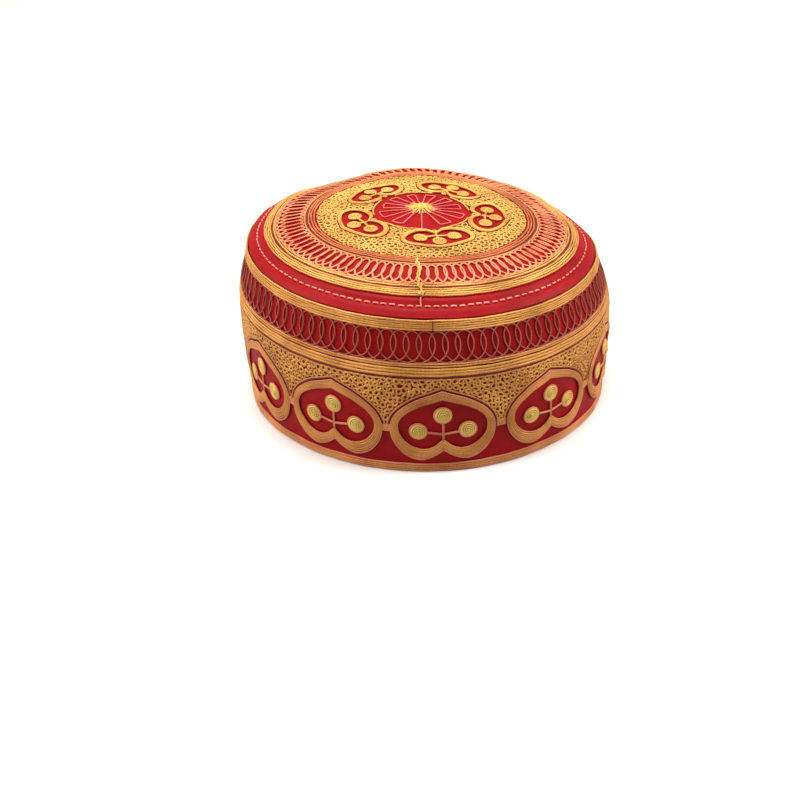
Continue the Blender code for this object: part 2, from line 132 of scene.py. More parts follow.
HEART_HALF = (
    # across, down
    (0.24, 0.060), (0.50, 0.130), (0.80, 0.270), (0.96, 0.420), (1.00, 0.560),
    (0.95, 0.730), (0.76, 0.910), (0.48, 1.000), (0.22, 0.960),
)
WIDEST_DOWN = 0.560
SIDE_NOTCH = 0.860
CROWN_NOTCH = 0.760
INNER_WIDTH = 0.84
INNER_HEIGHT = 0.70
INNER_TIP = 0.130
INNER_NOTCH = 0.800
CROWN_WINDOW = (0.885, 0.790, 0.100, 0.770)   # width, height, tip, notch
TREFOIL = (
    # across, down
    (0.465, 0.575), (0.000, 0.350), (-0.465, 0.575),
)
JUNCTION_DOWN = 0.620
CROWN_DOT_GROWTH = 1.10

# Threads of the ground, the loops and the bands
CURL_PITCH = 0.0029
SIDE_HOLE = 0.00064
CROWN_HOLE = 0.00092
LOOP_COUNT = 98
LOOP_SAMPLES = 30
ROW_PITCH = 0.00099

# The camera that was fitted to the photograph
CAMERA_DISTANCE = 0.5878
CAMERA_ELEVATION = 30.559
CAMERA_ROLL = -1.834
CAMERA_LENS = 49.5
CAMERA_SHIFT = (-0.0330, -0.0393)

rng = np.random.default_rng(11)


# Walls and places on them

def settle(points):
    """Moves points of the true round form to where the soft cap lets them lie."""
    x, y, z = points[:, 0], points[:, 1], points[:, 2]
    azimuth = np.arctan2(y, x)
    up_share = np.clip(z / SIDE_HEIGHT, 0.0, 1.0)
    crown_share = np.clip((z - SIDE_HEIGHT) / CROWN_RISE, 0.0, 1.0)
    stretch = 1.0 + RIM_SKEW * (1.0 - up_share) * np.sin(2.0 * azimuth)
    stretch += CROWN_LOBES * crown_share * np.sin(3.0 * azimuth)
    moved = np.stack([x * stretch, y * stretch, z + LEAN * x * up_share], axis=1)
    for dent_azimuth, radius, height, reach, outward, upward in DENTS:
        angle = math.radians(dent_azimuth)
        ray = np.array([math.cos(angle), math.sin(angle), 0.0])
        centre = ray * radius * RIM_RADIUS + np.array([0.0, 0.0, height * RIM_RADIUS])
        distance = np.linalg.norm(points - centre, axis=1) / (reach * RIM_RADIUS)
        weight = np.exp(-0.5 * distance * distance) * RIM_RADIUS
        moved += ray * outward * weight[:, None]
        moved[:, 2] += upward * weight * up_share
    return moved


def smooth_section(rows, turn, samples=900):
    """A smooth curve through a section: position, radius, height and unit normal."""
    rows = np.array(rows)
    place = rows[:, 0]
    slopes = np.gradient(rows[:, 1:], place, axis=0)
    along = np.linspace(place[0], place[-1], samples)
    index = np.clip(np.searchsorted(place, along) - 1, 0, len(place) - 2)
    step = (place[index + 1] - place[index])[:, None]
    share = (along - place[index])[:, None] / step
    square, cube = share ** 2, share ** 3
    points = (2.0 * cube - 3.0 * square + 1.0) * rows[index, 1:]
    points += (cube - 2.0 * square + share) * step * slopes[index]
    points += (3.0 * square - 2.0 * cube) * rows[index + 1, 1:]
    points += (cube - square) * step * slopes[index + 1]
    run = np.gradient(points, along, axis=0)
    run /= np.linalg.norm(run, axis=1)[:, None]
    return np.column_stack([along, points, run[:, 1] * turn, -run[:, 0] * turn])


SIDE = smooth_section([(up * SIDE_HEIGHT, SEAM_RADIUS + flare * SEAM_INSET, up * SIDE_HEIGHT)
                       for up, flare in SIDE_SECTION], 1.0)
CROWN = smooth_section([(out * SEAM_RADIUS, out * SEAM_RADIUS, SIDE_HEIGHT + rise * CROWN_RISE)
                        for out, rise in CROWN_SECTION], -1.0)


def ripple(azimuth, place):
    """The slight unevenness that dense stitching leaves in the cloth, in metres."""
    wave = np.sin(9.0 * azimuth + 110.0 * place + 0.7)
    wave += 0.7 * np.sin(23.0 * azimuth - 190.0 * place + 2.1)
    wave += 0.5 * np.sin(41.0 * azimuth + 320.0 * place + 4.0)
    return 0.00009 * wave


def on_wall(wall, place, azimuth, lift):
    """Points at positions along a wall and azimuths round it, lifted off its face."""
    lift = lift + ripple(azimuth, place)
    radius = np.interp(place, wall[:, 0], wall[:, 1]) + np.interp(place, wall[:, 0], wall[:, 3]) * lift
    height = np.interp(place, wall[:, 0], wall[:, 2]) + np.interp(place, wall[:, 0], wall[:, 4]) * lift
    return settle(np.column_stack([radius * np.cos(azimuth), radius * np.sin(azimuth), height]))


def on_side(flat, lift):
    """Places on the side: metres across, counted at the rim's radius, and height."""
    return on_wall(SIDE, flat[:, 1], flat[:, 0] / RIM_RADIUS, lift)


def on_crown(flat, lift):
    """Places on the crown, given in plan."""
    return on_wall(CROWN, np.hypot(flat[:, 0], flat[:, 1]), np.arctan2(flat[:, 1], flat[:, 0]), lift)


def side_heart_azimuth(index):
    """Direction of a heart of the side, in radians."""
    pitch = 360.0 / SIDE_HEART_COUNT
    return math.radians(SIDE_HEART_START + index * pitch + SIDE_HEART_DRIFT[index % SIDE_HEART_COUNT])


def crown_heart_azimuth(index):
    """Direction of a heart of the crown, in radians."""
    pitch = 360.0 / CROWN_HEART_COUNT
    return math.radians(CROWN_HEART_START + index * pitch + CROWN_HEART_DRIFT[index % CROWN_HEART_COUNT])


def to_side(points, azimuth):
    """Moves a heart's own points to its place on the side."""
    return np.asarray(points) + np.array([azimuth * RIM_RADIUS, SIDE_HEART_TIP])


def to_crown(points, azimuth):
    """Moves a heart's own points to its place on the crown, its tip pointing outwards."""
    points = np.asarray(points)
    ray = np.array([math.cos(azimuth), math.sin(azimuth)])
    back = np.array([ray[1], -ray[0]])
    return (CROWN_HEART_TIP + points[:, 1:]) * ray + points[:, :1] * back


# Flat curves

def unit(angles):
    """Unit vectors at angles, in radians."""
    return np.column_stack([np.cos(angles), np.sin(angles)])


def resampled(points, count):
    """Points at even spacing along a polyline."""
    points = np.asarray(points)
    steps = np.linalg.norm(np.diff(points, axis=0), axis=1)
    along = np.concatenate([[0.0], np.cumsum(steps)])
    marks = np.linspace(0.0, along[-1], count)
    return np.column_stack([np.interp(marks, along, points[:, axis]) for axis in (0, 1)])


def smooth_line(points, count, fine=12):
    """A Catmull-Rom curve through points, at even spacing."""
    points = np.asarray(points)
    padded = np.vstack([2.0 * points[0] - points[1], points, 2.0 * points[-1] - points[-2]])
    share = np.linspace(0.0, 1.0, fine, endpoint=False)[:, None]
    pieces = []
    for index in range(len(points) - 1):
        a, b, c, d = padded[index:index + 4]
        pieces.append(0.5 * (2.0 * b + (c - a) * share + (2.0 * a - 5.0 * b + 4.0 * c - d) * share ** 2
                             + (3.0 * b - a - 3.0 * c + d) * share ** 3))
    pieces.append(points[-1:])
    return resampled(np.vstack(pieces), count)


def heart_line(width, height, notch, tip, count=34):
    """A smooth heart, closed, from its notch round by the right side."""
    half = [(0.0, -tip - notch * height)]
    half += [(across * width / 2.0, -tip - down * height) for across, down in HEART_HALF[::-1]]
    half.append((0.0, -tip))
    right = smooth_line(half, count)
    left = right[-2:0:-1] * np.array([-1.0, 1.0])
    return np.vstack([right, left])


def inside_loop(points, loop):
    """Which points lie inside a closed loop."""
    x, y = points[:, :1], points[:, 1:]
    x1, y1 = loop[:, 0], loop[:, 1]
    x2, y2 = np.roll(x1, -1), np.roll(y1, -1)
    span = np.where(y2 == y1, 1e-12, y2 - y1)
    crosses = ((y1 > y) != (y2 > y)) & (x < x1 + (y - y1) * (x2 - x1) / span)
    return crosses.sum(axis=1) % 2 == 1


def outside(points, loops):
    """Which points lie outside all of several closed loops."""
    return ~np.any([inside_loop(points, loop) for loop in loops], axis=0)


# Threads

class Piece:
    """Gathers threads and sheets on one wall and makes one mesh of them."""

    def __init__(self, place):
        self.place = place
        self.points = []
        self.faces = []
        self.uvs = []
        self.looks = []
        self.count = 0

    def thread(self, path, lift, width, height, sides=6, closed=False, look=0):
        """Lays a thread along a flat path. Lift and width may change from point to point."""
        path = np.asarray(path, dtype=float)
        number = len(path)
        lift = np.broadcast_to(lift, number)
        width = np.broadcast_to(width, number)
        if closed:
            run = np.roll(path, -1, axis=0) - np.roll(path, 1, axis=0)
        else:
            run = np.gradient(path, axis=0)
        run /= np.maximum(np.linalg.norm(run, axis=1), 1e-12)[:, None]
        across = np.column_stack([run[:, 1], -run[:, 0]])
        angles = math.tau * (np.arange(sides) + 0.5) / sides
        offset = np.cos(angles)[None, :] * width[:, None] * 0.5
        flat = path[:, None, :] + across[:, None, :] * offset[:, :, None]
        high = lift[:, None] + np.sin(angles)[None, :] * height * 0.5
        self.points.append(self.place(flat.reshape(-1, 2), high.reshape(-1)))
        steps = np.linalg.norm(np.roll(path, -1, axis=0) - path, axis=1)
        along = np.concatenate([[0.0], np.cumsum(steps)])
        rings = number if closed else number - 1
        ring = np.arange(rings)[:, None]
        side = np.arange(sides)[None, :]
        after = (ring + 1) % number
        beside = (side + 1) % sides
        quads = np.stack([ring * sides + side, ring * sides + beside,
                          after * sides + beside, after * sides + side], axis=-1).reshape(-1, 4)
        self.faces += (quads + self.count).tolist()
        u1 = np.broadcast_to(along[ring], (rings, sides))
        u2 = np.broadcast_to(along[ring + 1], (rings, sides))
        v1 = np.broadcast_to(side / sides, (rings, sides))
        v2 = v1 + 1.0 / sides
        self.uvs.append(np.stack([u1, v1, u1, v2, u2, v2, u2, v1], axis=-1).reshape(-1, 2))
        self.looks += [look] * len(quads)
        if not closed:
            for start in (0, (number - 1) * sides):
                cap = list(range(self.count + start, self.count + start + sides))
                self.faces.append(cap if start else cap[::-1])
                self.uvs.append(np.full((sides, 2), 0.5) * [along[-2 if start else 0], 1.0])
                self.looks.append(look)
        self.count += number * sides

    def rows(self, position, lift, width, height, count=360, sides=6, look=0, waver=0.00006):
        """Lays one thread right round the cap, at a position along its wall."""
        azimuth = np.linspace(0.0, math.tau, count, endpoint=False)
        phase = rng.uniform(0.0, math.tau, 3)
        shift = waver * (np.sin(7.0 * azimuth + phase[0]) + np.sin(19.0 * azimuth + phase[1])
                         + 0.8 * np.sin(47.0 * azimuth + phase[2]))
        if self.place is on_side:
            path = np.column_stack([azimuth * RIM_RADIUS, position + shift])[::-1]
        else:
            path = unit(azimuth) * (position + shift)[:, None]
        self.ring(path, lift, width, height, sides, look)

    def ring(self, path, lift, width, height, sides, look):
        """Lays a thread right round the cap, where the flat side's ends meet."""
        if self.place is not on_side:
            self.thread(path, lift, width, height, sides, True, look)
            return
        turn = np.array([math.tau * RIM_RADIUS, 0.0])
        sign = -1.0 if path[1, 0] < path[0, 0] else 1.0
        number = len(path)
        longer = np.vstack([path[-1:] - sign * turn, path, path[:1] + sign * turn])
        lifts = np.broadcast_to(lift, number)
        lifts = np.concatenate([lifts[-1:], lifts, lifts[:1]])
        first = self.count
        self.thread(longer, lifts, width, height, sides, False, look)
        self.close_up(first, number, sides)

    def close_up(self, first, number, sides):
        """Joins the two ends of the last thread, whose end rings repeat its own rings."""
        caps = 2
        del self.faces[-caps:], self.looks[-caps:], self.uvs[-caps:]
        self.points[-1] = self.points[-1][sides:-sides]
        quads = (number + 1) * sides
        block = np.array(self.faces[-quads:]) - first
        block = (block // sides - 1) % number * sides + block % sides
        uv = self.uvs[-1].reshape(-1, 8)
        self.faces[-quads:] = (block[sides:] + first).tolist()
        self.uvs[-1] = uv[sides:].reshape(-1, 2)
        del self.looks[-sides:]
        self.count = first + number * sides

    def make(self, name, materials, slot, *nodes):
        """Makes the object, which rides on the cap and stands for the nodes."""
        mesh = new_mesh(name, np.vstack(self.points), self.faces, np.vstack(self.uvs))
        mesh.polygons.foreach_set("material_index", np.array(self.looks, dtype=np.int32))
        for material in materials:
            mesh.materials.append(material)
        add_piece(mesh, name, slot, *nodes)


def new_mesh(name, points, faces, uvs):
    """A smooth mesh with uvs that run along its threads or its cloth."""
    mesh = bpy.data.meshes.new(name)
    mesh.from_pydata(points.tolist(), [], faces)
    layer = mesh.uv_layers.new(name="run")
    layer.data.foreach_set("uv", np.array(uvs, dtype=np.float32).ravel())
    mesh.shade_smooth()
    return mesh


def add_object(name, data):
    """Adds an object to the scene."""
    thing = bpy.data.objects.new(name, data)
    bpy.context.scene.collection.objects.link(thing)
    return thing


def add_piece(mesh, name, slot, *nodes):
    """Adds a mesh as a piece of the cap."""
    mesh.update()
    thing = add_object(name, mesh)
    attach(thing, "root")
    if nodes:
        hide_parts(*nodes)


# Materials

def node_material(name):
    """A new material, with its nodes, their links and its shader."""
    material = bpy.data.materials.new(name)
    material.use_nodes = True
    nodes = material.node_tree.nodes
    return material, nodes, material.node_tree.links, nodes["Principled BSDF"]


def math_node(nodes, links, kind, *values):
    """One math node. Its inputs are numbers or sockets."""
    node = nodes.new("ShaderNodeMath")
    node.operation = kind
    for socket, value in zip(node.inputs, values):
        if isinstance(value, (int, float)):
            socket.default_value = value
        else:
            links.new(value, socket)
    return node.outputs[0]


def weighted_sum(nodes, links, *parts):
    """The sum of several values, each given with its weight."""
    shares = [math_node(nodes, links, "MULTIPLY", value, weight) for value, weight in parts]
    total = shares[0]
    for share in shares[1:]:
        total = math_node(nodes, links, "ADD", total, share)
    return total


def run_axes(nodes, links):
    """The way along the run, the way across it, and the place on the object."""
    run = nodes.new("ShaderNodeUVMap")
    run.uv_map = "run"
    axes = nodes.new("ShaderNodeSeparateXYZ")
    links.new(run.outputs["UV"], axes.inputs[0])
    place = nodes.new("ShaderNodeTexCoord").outputs["Object"]
    return axes.outputs["X"], axes.outputs["Y"], place


def noise_node(nodes, links, vector, scale, detail=3.0):
    """A noise value in the range 0 to 1."""
    node = nodes.new("ShaderNodeTexNoise")
    node.inputs["Scale"].default_value = scale
    node.inputs["Detail"].default_value = detail
    node.inputs["Roughness"].default_value = 0.55
    links.new(vector, node.inputs["Vector"])
    return node.outputs["Fac"]


def ramp_node(nodes, links, value, stops):
    """A colour ramp with (position, colour) stops."""
    node = nodes.new("ShaderNodeValToRGB")
    elements = node.color_ramp.elements
    while len(elements) < len(stops):
        elements.new(0.5)
    for element, (position, colour) in zip(elements, stops):
        element.position = position
        element.color = (*colour, 1.0)
    links.new(value, node.inputs["Fac"])
    return node.outputs["Color"]


def bump_node(nodes, links, value, strength, distance):
    """A normal bent by a height value."""
    node = nodes.new("ShaderNodeBump")
    node.inputs["Strength"].default_value = strength
    node.inputs["Distance"].default_value = distance
    links.new(value, node.inputs["Height"])
    return node.outputs["Normal"]


def thread_material(name, dark, middle, light, metallic, roughness, pitch):
    """Twisted thread: slanting twist lines along its run, worn and shaded in patches."""
    material, nodes, links, shader = node_material(name)
    along, across, place = run_axes(nodes, links)
    turns = math_node(nodes, links, "MULTIPLY", along, math.tau / pitch)
    slant = math_node(nodes, links, "MULTIPLY", across, math.tau)
    wobble = math_node(nodes, links, "MULTIPLY", noise_node(nodes, links, place, 300.0), 3.0)
    phase = math_node(nodes, links, "ADD", math_node(nodes, links, "ADD", turns, slant), wobble)
    twist = math_node(nodes, links, "MULTIPLY_ADD", math_node(nodes, links, "SINE", phase), 0.5, 0.5)
    patch = noise_node(nodes, links, place, 55.0, 2.0)
    grain = noise_node(nodes, links, place, 1500.0, 2.0)
    shade = weighted_sum(nodes, links, (twist, 0.45), (patch, 0.55), (grain, 0.35))
    colour = ramp_node(nodes, links, shade, [(0.30, dark), (0.62, middle), (0.98, light)])
    links.new(colour, shader.inputs["Base Color"])
    rough = math_node(nodes, links, "MULTIPLY_ADD", grain, 0.25, roughness - 0.12)
    links.new(rough, shader.inputs["Roughness"])
    shader.inputs["Metallic"].default_value = metallic
    links.new(bump_node(nodes, links, twist, 0.6, 0.00012), shader.inputs["Normal"])
    return material


def satin_material(name, dark, middle, light, roughness):
    """Satin: fine crossed threads with slubs along them."""
    material, nodes, links, shader = node_material(name)
    along, across, place = run_axes(nodes, links)
    warp = math_node(nodes, links, "SINE", math_node(nodes, links, "MULTIPLY", along, 13000.0))
    weft = math_node(nodes, links, "SINE", math_node(nodes, links, "MULTIPLY", across, 10000.0))
    crossed = math_node(nodes, links, "MULTIPLY", warp, weft)
    weave = math_node(nodes, links, "MULTIPLY_ADD", crossed, 0.5, 0.5)
    stretch = nodes.new("ShaderNodeCombineXYZ")
    links.new(math_node(nodes, links, "MULTIPLY", along, 120.0), stretch.inputs[0])
    links.new(math_node(nodes, links, "MULTIPLY", across, 1800.0), stretch.inputs[1])
    slub = noise_node(nodes, links, stretch.outputs[0], 1.0)
    patch = noise_node(nodes, links, place, 70.0)
    shade = weighted_sum(nodes, links, (weave, 0.18), (slub, 0.42), (patch, 0.50))
    colour = ramp_node(nodes, links, shade, [(0.28, dark), (0.55, middle), (0.85, light)])
    links.new(colour, shader.inputs["Base Color"])
    shader.inputs["Roughness"].default_value = roughness
    shader.inputs["Specular IOR Level"].default_value = 0.12
    height = math_node(nodes, links, "ADD", math_node(nodes, links, "MULTIPLY", weave, 0.5), slub)
    links.new(bump_node(nodes, links, height, 0.35, 0.00010), shader.inputs["Normal"])
    return material


SATIN = satin_material("crimson_satin", (0.14, 0.0006, 0.0022), (0.29, 0.0012, 0.0040),
                       (0.42, 0.0050, 0.010), 0.50)
GOLD = thread_material("gold_thread", (0.14, 0.040, 0.005), (0.63, 0.315, 0.044), (0.96, 0.66, 0.19),
                       0.30, 0.42, 0.0006)
# Painted shade: a darker, more orange copy of the gold thread, for the side, which gets less light than the
# crown.
SHADED_SIDE_GOLD = thread_material("shaded_side_gold_thread", (0.13, 0.028, 0.004), (0.66, 0.245, 0.038),
                            (0.96, 0.53, 0.14), 0.30, 0.42, 0.0006)
BRIGHT_GOLD = thread_material("bright_gold_thread", (0.45, 0.22, 0.02), (0.80, 0.50, 0.08),
                              (1.0, 0.80, 0.30), 0.20, 0.42, 0.0006)
AMBER = thread_material("amber_thread", (0.16, 0.032, 0.006), (0.64, 0.215, 0.045), (0.92, 0.47, 0.15),
                        0.25, 0.45, 0.0006)
TAN = thread_material("tan_thread", (0.13, 0.024, 0.005), (0.58, 0.185, 0.044), (0.88, 0.42, 0.14),
                      0.25, 0.45, 0.0006)
COPPER = thread_material("copper_thread", (0.15, 0.018, 0.006), (0.52, 0.115, 0.036), (0.82, 0.29, 0.10),
                         0.25, 0.45, 0.0006)
SALMON = thread_material("salmon_thread", (0.26, 0.035, 0.018), (0.70, 0.20, 0.085), (0.92, 0.45, 0.22),
                         0.10, 0.50, 0.0005)
# Painted shade: a darker, redder copy of the salmon loop thread, for the loops of the side, which lie in
# shade.
SHADED_SALMON = thread_material("shaded_salmon_thread", (0.14, 0.010, 0.007), (0.33, 0.050, 0.028), (0.52, 0.13, 0.075),
                       0.10, 0.50, 0.0005)
PETAL = thread_material("petal_thread", (0.45, 0.025, 0.030), (0.70, 0.080, 0.075), (0.90, 0.26, 0.20),
                        0.05, 0.50, 0.0005)
PINK = thread_material("pink_thread", (0.42, 0.05, 0.04), (0.74, 0.16, 0.12), (0.95, 0.42, 0.32),
                       0.05, 0.50, 0.0005)
# A dark red thread: the seam cord, the front join line and the lines round the side's hearts, and also thin
# lines of painted shade in the gaps beside the bands.
DARK_CORD_AND_SHADE = thread_material("dark_red_cord_and_painted_shade", (0.08, 0.003, 0.002), (0.15, 0.006, 0.003), (0.22, 0.012, 0.008),
                       0.0, 0.60, 0.0005)
# Painted shade: the dark core laid in each hole of the ground.
HOLE_SHADE = thread_material("shaded_ground", (0.065, 0.011, 0.002), (0.11, 0.018, 0.003),
                       (0.18, 0.030, 0.006), 0.0, 0.80, 0.0005)


# Cloth

def cloth(name, node, wall, course, closed):
    """A shell spun from a course of places and lifts on a wall, with a cloth's uv run."""
    turns = 288
    azimuth = np.linspace(0.0, math.tau, turns, endpoint=False)
    rings = [on_wall(wall, np.full(turns, place), azimuth, lift) for place, lift in course]
    points = np.vstack(rings)
    number = len(rings)
    steps = [np.linalg.norm(rings[(i + 1) % number][0] - rings[i][0]) for i in range(number)]
    marks = np.concatenate([[0.0], np.cumsum(steps)])
    faces, uvs = [], []
    for i in range(number if closed else number - 1):
        j = (i + 1) % number
        for k in range(turns):
            m = (k + 1) % turns
            faces.append((i * turns + k, i * turns + m, j * turns + m, j * turns + k))
            u1, u2 = k / turns * math.tau * RIM_RADIUS, (k + 1) / turns * math.tau * RIM_RADIUS
            uvs += [(u1, marks[i]), (u2, marks[i]), (u2, marks[i + 1]), (u1, marks[i + 1])]
    if not closed:
        for i in (0, number - 1):
            middle = len(points)
            points = np.vstack([points, points[i * turns:(i + 1) * turns].mean(axis=0)])
            for k in range(turns):
                m = (k + 1) % turns
                corner = (middle, i * turns + m, i * turns + k)
                faces.append(corner if i == 0 else corner[::-1])
                uvs += [(0.0, marks[i])] * 3
    mesh = new_mesh(name, points, faces, uvs)
    mesh.materials.append(SATIN)
    add_piece(mesh, name, "red_satin", node)


def make_cloth():
    """The side wall and the crown."""
    low = BINDING_HEIGHT - 0.0010
    high = SIDE_HEIGHT - CROWN_WALL
    places = np.linspace(low, high, 60)
    face = [(place, 0.0) for place in places]
    back = [(place, -SIDE_WALL) for place in places[::-3]]
    cloth("side_cloth", "side_band", SIDE, face + back, True)
    places = np.concatenate([np.linspace(0.002, OUTER_RING_EDGE, 50),
                             np.linspace(OUTER_RING_EDGE + 0.0002, SEAM_RADIUS, 44)])
    face = [(place, 0.0) for place in places]
    rim = [(SEAM_RADIUS, -0.0006), (SEAM_RADIUS, -CROWN_WALL)]
    back = [(place, -CROWN_WALL) for place in places[-8::-6]]
    cloth("crown_cloth", "crown", CROWN, face + rim + back, False)
    seam = Piece(on_side)
    seam.rows(SIDE_HEIGHT - 0.0016, -0.0011, 0.0030, 0.0018, sides=8, waver=0.0)
    seam.make("seam_cord", [DARK_CORD_AND_SHADE], "red_satin")


# Couched bands

def make_bands():
    """Rings of couched thread round the side and the crown, and thin dark lines of painted shade in the gaps
    beside them.
    """
    lift = 0.0006
    upper = Piece(on_side)
    row_count = 5
    upper_row = UPPER_BAND_WIDTH / row_count
    for index in range(row_count):
        upper.rows(UPPER_BAND_FOOT + (index + 0.5) * upper_row, lift, upper_row * 0.97, 0.0009)
    upper.make("upper_band_threads", [SHADED_SIDE_GOLD], "gold_thread", "upper_gold_band")

    middle = Piece(on_side)
    top_rows_width = 0.0023
    middle_row = (MIDDLE_BAND_TOP - MIDDLE_BAND_FOOT - top_rows_width) / 3.0
    for index in range(3):
        middle.rows(MIDDLE_BAND_FOOT + (index + 0.5) * middle_row, lift, middle_row * 0.97, 0.0010)
    for index in range(2):
        middle.rows(MIDDLE_BAND_TOP - (index + 0.5) * ROW_PITCH, lift, 0.00092, 0.0009, look=index)
    middle.make("middle_band_threads", [SHADED_SIDE_GOLD, TAN], "gold_thread", "middle_gold_band")

    outer = Piece(on_crown)
    width = ROW_PITCH * 0.86
    for index, look in enumerate((1, 0, 0, 1)):
        outer.rows(OUTER_RING_EDGE - (index + 0.5) * ROW_PITCH, lift, width, 0.0010, look=look)
    for index, look in enumerate((1, 0)):
        outer.rows(OUTER_RING_LOW + (index + 0.5) * ROW_PITCH, lift, width, 0.0009, look=look)
    outer.make("outer_ring_threads", [GOLD, AMBER], "gold_thread", "crown_outer_ring")

    inner = Piece(on_crown)
    for index in range(3):
        inner.rows(INNER_RING_LOW + 0.0006 + index * 0.00132, lift, 0.00094, 0.0010, look=0)
    inner.rows(INNER_RING_EDGE - 0.0004, lift, 0.0009, 0.0010, look=1)
    inner.make("inner_ring_threads", [COPPER, AMBER], "copper_thread", "crown_inner_ring")

    # Painted shade: thin dark cords stand for the gaps of red cloth in shade, below the middle band and
    # between the crown's rings.
    side_shade = Piece(on_side)
    side_shade.rows(MIDDLE_BAND_FOOT - 0.5 * DARK_LINE, 0.0003, 0.0012, 0.0007)
    side_shade.make("side_painted_shade_line", [DARK_CORD_AND_SHADE], "red_satin")
    crown_shade = Piece(on_crown)
    crown_shade.rows(INNER_RING_EDGE - 0.0013, 0.0003, 0.0011, 0.0007)
    crown_shade.rows(OUTER_RING_LOW + 0.0023, 0.0003, 0.0007, 0.0007)
    crown_shade.make("crown_painted_shade_lines", [DARK_CORD_AND_SHADE], "red_satin")


def make_binding():
    """The stitched binding under the side wall."""
    binding = Piece(on_side)
    binding.rows(BINDING_HEIGHT / 2.0, -SIDE_WALL / 2.0, BINDING_HEIGHT * 0.94,
                 SIDE_WALL + BINDING_PROUD, sides=12, look=0, waver=0.0)
    rows = ((0.0008, 1), (0.0018, 0), (0.0028, 0), (0.0040, 1))
    for height, look in rows:
        binding.rows(height, 0.0002, 0.00096, 0.0010, look=look)
    for height, look in rows:
        binding.rows(height, -SIDE_WALL - 0.0002, 0.00096, 0.0009, look=look)
    binding.make("rim_binding_threads", [AMBER, SALMON], "copper_thread", "rim_binding")


# Looped bands

def trochoid(reach):
    """A chain of loops: its turn, its azimuth, how far up it is, from -1 to 1, and its lift."""
    turn = np.linspace(0.0, math.tau * LOOP_COUNT, LOOP_COUNT * LOOP_SAMPLES, endpoint=False)
    along = (turn + reach * np.sin(turn)) / math.tau
    return turn, along / LOOP_COUNT * math.tau, np.cos(turn), 0.00055 + 0.00022 * np.sin(turn + 0.4)


def make_loops():
    """The chains of loops round the side and the crown."""
    clearance = 0.0001
    turn, azimuth, up, lift = trochoid(6.0)
    uneven = 0.00010 * np.sin(turn * 0.37) + 0.00008 * np.sin(turn * 1.31 + 1.0)
    middle = 0.5 * (UPPER_BAND_FOOT + MIDDLE_BAND_TOP)
    half = 0.5 * SIDE_LOOP_WIDTH - clearance
    # The side's loops take the darker salmon thread, which is painted shade.
    side = Piece(on_side)
    side.ring(np.column_stack([azimuth * RIM_RADIUS + uneven, middle - half * up + uneven]), lift,
              0.00066, 0.00070, 6, 0)
    side.make("side_loop_thread", [SHADED_SALMON], "copper_thread")

    turn, azimuth, up, lift = trochoid(5.35)
    uneven = 0.00010 * np.sin(turn * 0.41 + 2.0)
    middle = 0.5 * (OUTER_RING_LOW + INNER_RING_EDGE)
    radius = middle + (0.5 * CROWN_LOOP_WIDTH - clearance) * up + uneven
    crown = Piece(on_crown)
    crown.ring(unit(azimuth) * radius[:, None], lift, 0.00092, 0.00075, 6, 0)
    crown.make("crown_loop_thread", [SALMON], "copper_thread")


# Meandering ground

def relaxed_cells(seeds, ghosts, pitch, period, angles, rounds=2):
    """Spreads seeds a little and returns, for each one, how far its cell reaches at each angle."""
    rays = unit(angles)
    for step in range(rounds + 1):
        everyone = np.vstack([seeds, ghosts])
        delta = everyone[None, :, :] - seeds[:, None, :]
        if period:
            delta[:, :, 0] -= period * np.round(delta[:, :, 0] / period)
        distance = np.linalg.norm(delta, axis=2)
        np.fill_diagonal(distance[:, :len(seeds)], 1.0)
        near = np.argsort(distance, axis=1)[:, :12]
        chosen = np.take_along_axis(delta, near[:, :, None], axis=1)
        far = np.take_along_axis(distance, near, axis=1)
        toward = np.einsum("nkj,mj->nmk", chosen, rays) / far[:, None, :]
        reach = np.where(toward > 0.08, 0.5 * far[:, None, :] / np.maximum(toward, 0.08), 1.0).min(axis=2)
        reach = np.minimum(reach, 1.10 * pitch)
        if step < rounds:
            centre = (reach ** 3)[:, :, None] * rays[None, :, :] / 3.0
            area = (reach ** 2).sum(axis=1) / 2.0
            seeds = seeds + 0.55 * centre.sum(axis=1) / area[:, None]
    for _ in range(2):
        reach = 0.5 * reach + 0.25 * (np.roll(reach, 1, axis=1) + np.roll(reach, -1, axis=1))
    return seeds, reach


def hex_seeds(low, high, pitch):
    """An uneven honeycomb of points in a box."""
    rows = []
    height = pitch * math.sqrt(3.0) / 2.0
    for index, y in enumerate(np.arange(low[1], high[1], height)):
        shift = 0.5 * pitch * (index % 2)
        xs = np.arange(low[0] + shift, high[0], pitch)
        rows.append(np.column_stack([xs, np.full(len(xs), y)]))
    seeds = np.vstack(rows)
    return seeds + rng.uniform(-0.30, 0.30, seeds.shape) * pitch


def edge_seeds(lines, pitch):
    """Seeds along the edges of the ground, none of them crowded."""
    kept = []
    for line in lines:
        length = np.linalg.norm(np.diff(line, axis=0), axis=1).sum()
        for point in resampled(line, max(2, int(length / pitch))):
            if all(math.hypot(*(point - other)) > 0.8 * pitch for other in kept[-400:]):
                kept.append(point)
    return np.array(kept)


